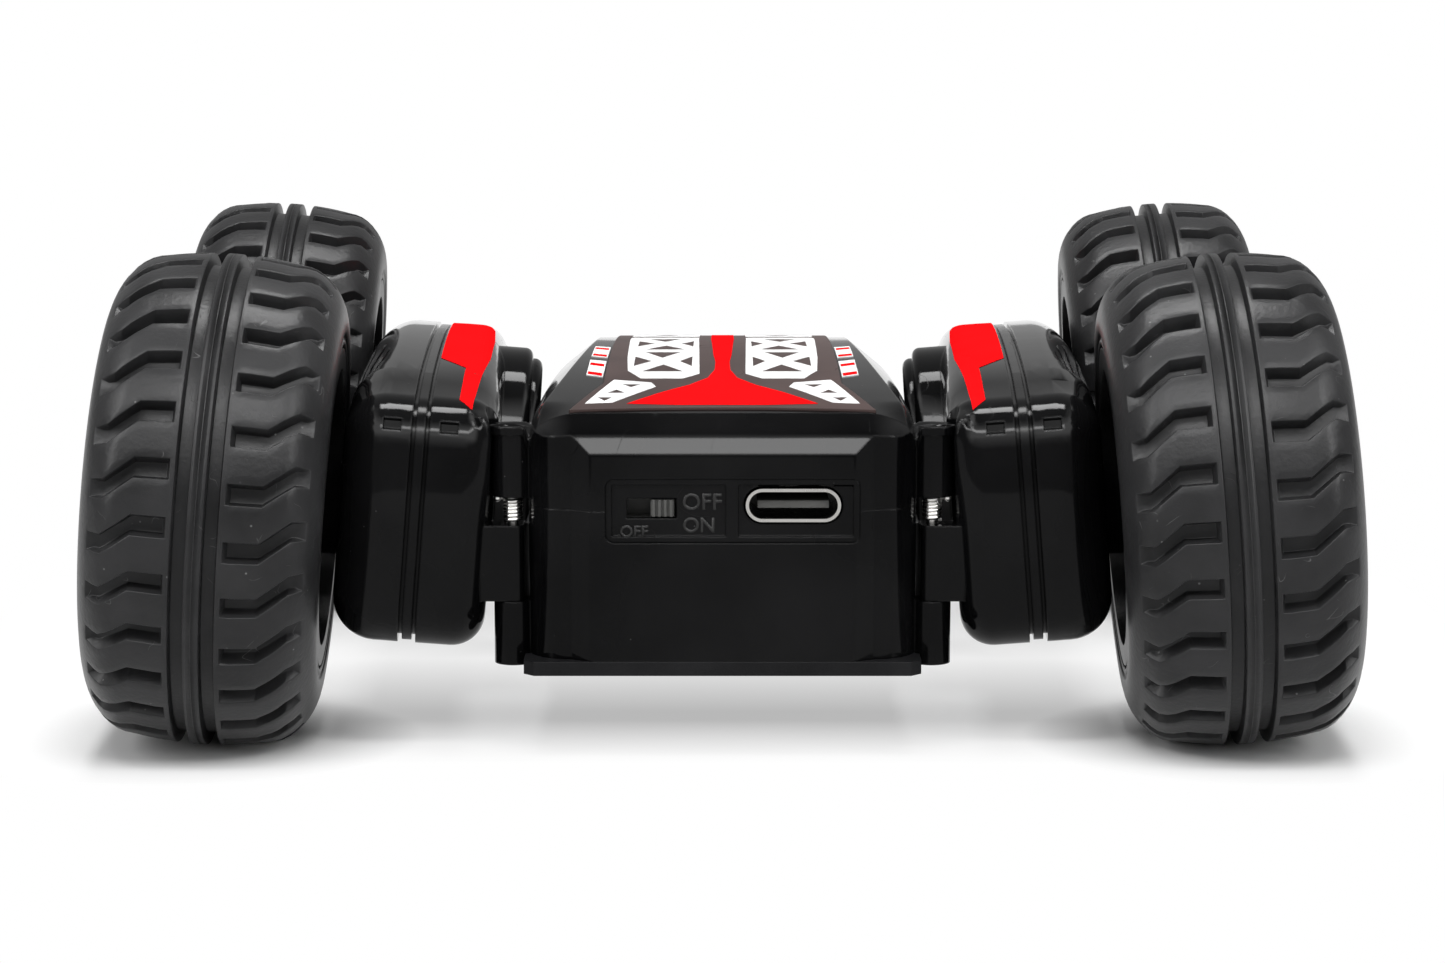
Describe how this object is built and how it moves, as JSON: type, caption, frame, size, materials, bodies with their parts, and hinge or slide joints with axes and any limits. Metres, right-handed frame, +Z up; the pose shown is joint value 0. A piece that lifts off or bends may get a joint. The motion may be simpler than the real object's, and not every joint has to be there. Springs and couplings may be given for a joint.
{
  "type": "rc stunt car",
  "caption": "Small radio-controlled stunt car with fat treaded tyres on sprung side pods, a glossy black body and a USB charging port in its tail.",
  "frame": {"origin": "on the ground, under the middle of the car", "axes": "+Z up, +Y towards the front, +X to the right"},
  "size_m": [0.1328, 0.1232, 0.0481],
  "materials": {
    "body_gloss": "gloss black",
    "base_plastic": "satin black",
    "pod_gloss": "gloss black",
    "seam_black": "matt black",
    "deck_print": "gloss dark brown with a red and white print",
    "window_print": "gloss red",
    "panel_plastic": "satin black",
    "rubber": "matt black",
    "rim_black": "semi-gloss black",
    "steel": "bright",
    "port_steel": "bright nickel",
    "gear_nylon": "natural white",
    "brass": "plain",
    "bush_bronze": "oiled",
    "motor_steel": "zinc plated",
    "switch_nylon": "matt",
    "board_green": "solder mask",
    "cell_wrap": "shrink wrap"
  },
  "bodies": {
    "chassis": {"top_shell": "body_gloss", "bottom_shell": "body_gloss", "base_plate": "base_plastic", "deck_panel": "deck_print", "side_windows": "window_print", "port_panel": "panel_plastic", "usb_port_shell": "port_steel", "usb_tongue": "switch_nylon", "switch_body": "switch_nylon", "circuit_board": "board_green", "battery_pack": "cell_wrap", "hinge_pins": "steel", "hinge_springs": "steel", "chassis_screws": "steel"},
    "power_switch": {"switch_knob": "switch_nylon"},
    "right_pod": {"pod_inner_shell_right": "pod_gloss", "pod_outer_shell_right": "pod_gloss", "pod_seam_trim_right": "seam_black", "gear_pins_right": "steel", "axle_bushes_right": "bush_bronze", "pod_screws_right": "steel", "motor_right": "motor_steel"},
    "right_motor_pinion": {"motor_pinion_right": "brass"},
    "rear_right_wheel": {"tyre_rear_right": "rubber", "rim_rear_right": "rim_black", "hub_cap_rear_right": "rim_black", "axle_rear_right": "steel", "wheel_gear_rear_right": "gear_nylon"},
    "rear_right_idler": {"idler_gear_rear_right": "gear_nylon"},
    "rear_right_compound": {"compound_gear_rear_right": "gear_nylon"},
    "front_right_wheel": {"tyre_front_right": "rubber", "rim_front_right": "rim_black", "hub_cap_front_right": "rim_black", "axle_front_right": "steel", "wheel_gear_front_right": "gear_nylon"},
    "front_right_idler": {"idler_gear_front_right": "gear_nylon"},
    "front_right_compound": {"compound_gear_front_right": "gear_nylon"},
    "left_pod": {"pod_inner_shell_left": "pod_gloss", "pod_outer_shell_left": "pod_gloss", "pod_seam_trim_left": "seam_black", "gear_pins_left": "steel", "axle_bushes_left": "bush_bronze", "pod_screws_left": "steel", "motor_left": "motor_steel"},
    "left_motor_pinion": {"motor_pinion_left": "brass"},
    "rear_left_wheel": {"tyre_rear_left": "rubber", "rim_rear_left": "rim_black", "hub_cap_rear_left": "rim_black", "axle_rear_left": "steel", "wheel_gear_rear_left": "gear_nylon"},
    "rear_left_idler": {"idler_gear_rear_left": "gear_nylon"},
    "rear_left_compound": {"compound_gear_rear_left": "gear_nylon"},
    "front_left_wheel": {"tyre_front_left": "rubber", "rim_front_left": "rim_black", "hub_cap_front_left": "rim_black", "axle_front_left": "steel", "wheel_gear_front_left": "gear_nylon"},
    "front_left_idler": {"idler_gear_front_left": "gear_nylon"},
    "front_left_compound": {"compound_gear_front_left": "gear_nylon"}
  },
  "joints": [
    {"name": "right_pod_swing", "type": "hinge", "parent": "chassis", "child": "right_pod", "pos_m": [0.02, -0.0451, 0.01925], "axis": [0, 0, -1], "range_deg": [-1, 10], "stiffness_Nm_per_rad": 0.05},
    {"name": "rear_right_wheel_spin", "type": "hinge", "parent": "right_pod", "child": "rear_right_wheel", "pos_m": [0.04919, -0.03754, 0.02403], "axis": [0.9948, -0.0574, 0.0837], "continuous": true},
    {"name": "rear_right_idler_spin", "type": "hinge", "parent": "right_pod", "child": "rear_right_idler", "pos_m": [0.04998, -0.02368, 0.02403], "axis": [0.9948, -0.0574, 0.0837], "continuous": true},
    {"name": "rear_right_compound_spin", "type": "hinge", "parent": "right_pod", "child": "rear_right_compound", "pos_m": [0.05068, -0.01162, 0.02403], "axis": [0.9948, -0.0574, 0.0837], "continuous": true},
    {"name": "front_right_wheel_spin", "type": "hinge", "parent": "right_pod", "child": "front_right_wheel", "pos_m": [0.05351, 0.03754, 0.02403], "axis": [0.9948, -0.0574, 0.0837], "continuous": true},
    {"name": "front_right_idler_spin", "type": "hinge", "parent": "right_pod", "child": "front_right_idler", "pos_m": [0.05272, 0.02368, 0.02403], "axis": [0.9948, -0.0574, 0.0837], "continuous": true},
    {"name": "front_right_compound_spin", "type": "hinge", "parent": "right_pod", "child": "front_right_compound", "pos_m": [0.05202, 0.01162, 0.02403], "axis": [0.9948, -0.0574, 0.0837], "continuous": true},
    {"name": "right_pinion_spin", "type": "hinge", "parent": "right_pod", "child": "right_motor_pinion", "pos_m": [0.05135, 0, 0.02403], "axis": [0.9948, -0.0574, 0.0837], "continuous": true},
    {"name": "left_pod_swing", "type": "hinge", "parent": "chassis", "child": "left_pod", "pos_m": [-0.02, -0.0451, 0.01925], "axis": [0, 0, 1], "range_deg": [-1, 10], "stiffness_Nm_per_rad": 0.05},
    {"name": "rear_left_wheel_spin", "type": "hinge", "parent": "left_pod", "child": "rear_left_wheel", "pos_m": [-0.04919, -0.03754, 0.02403], "axis": [-0.9948, -0.0574, 0.0837], "continuous": true},
    {"name": "rear_left_idler_spin", "type": "hinge", "parent": "left_pod", "child": "rear_left_idler", "pos_m": [-0.04998, -0.02368, 0.02403], "axis": [-0.9948, -0.0574, 0.0837], "continuous": true},
    {"name": "rear_left_compound_spin", "type": "hinge", "parent": "left_pod", "child": "rear_left_compound", "pos_m": [-0.05068, -0.01162, 0.02403], "axis": [-0.9948, -0.0574, 0.0837], "continuous": true},
    {"name": "front_left_wheel_spin", "type": "hinge", "parent": "left_pod", "child": "front_left_wheel", "pos_m": [-0.05351, 0.03754, 0.02403], "axis": [-0.9948, -0.0574, 0.0837], "continuous": true},
    {"name": "front_left_idler_spin", "type": "hinge", "parent": "left_pod", "child": "front_left_idler", "pos_m": [-0.05272, 0.02368, 0.02403], "axis": [-0.9948, -0.0574, 0.0837], "continuous": true},
    {"name": "front_left_compound_spin", "type": "hinge", "parent": "left_pod", "child": "front_left_compound", "pos_m": [-0.05202, 0.01162, 0.02403], "axis": [-0.9948, -0.0574, 0.0837], "continuous": true},
    {"name": "left_pinion_spin", "type": "hinge", "parent": "left_pod", "child": "left_motor_pinion", "pos_m": [-0.05135, 0, 0.02403], "axis": [-0.9948, -0.0574, 0.0837], "continuous": true},
    {"name": "power_switch_slide", "type": "slide", "parent": "chassis", "child": "power_switch", "axis": [1, 0, 0], "range_m": [-0.002, 0]}
  ],
  "couplings": [
    {"joint": "rear_right_idler_spin", "follows": "rear_right_wheel_spin", "ratio": -0.82353},
    {"joint": "rear_right_compound_spin", "follows": "rear_right_wheel_spin", "ratio": 1.4},
    {"joint": "front_right_idler_spin", "follows": "rear_right_wheel_spin", "ratio": -0.82353},
    {"joint": "front_right_compound_spin", "follows": "rear_right_wheel_spin", "ratio": 1.4},
    {"joint": "front_right_wheel_spin", "follows": "rear_right_wheel_spin", "ratio": 1},
    {"joint": "right_pinion_spin", "follows": "rear_right_wheel_spin", "ratio": -2.6444},
    {"joint": "rear_left_idler_spin", "follows": "rear_left_wheel_spin", "ratio": -0.82353},
    {"joint": "rear_left_compound_spin", "follows": "rear_left_wheel_spin", "ratio": 1.4},
    {"joint": "front_left_idler_spin", "follows": "rear_left_wheel_spin", "ratio": -0.82353},
    {"joint": "front_left_compound_spin", "follows": "rear_left_wheel_spin", "ratio": 1.4},
    {"joint": "front_left_wheel_spin", "follows": "rear_left_wheel_spin", "ratio": 1},
    {"joint": "left_pinion_spin", "follows": "rear_left_wheel_spin", "ratio": -2.6444}
  ]
}
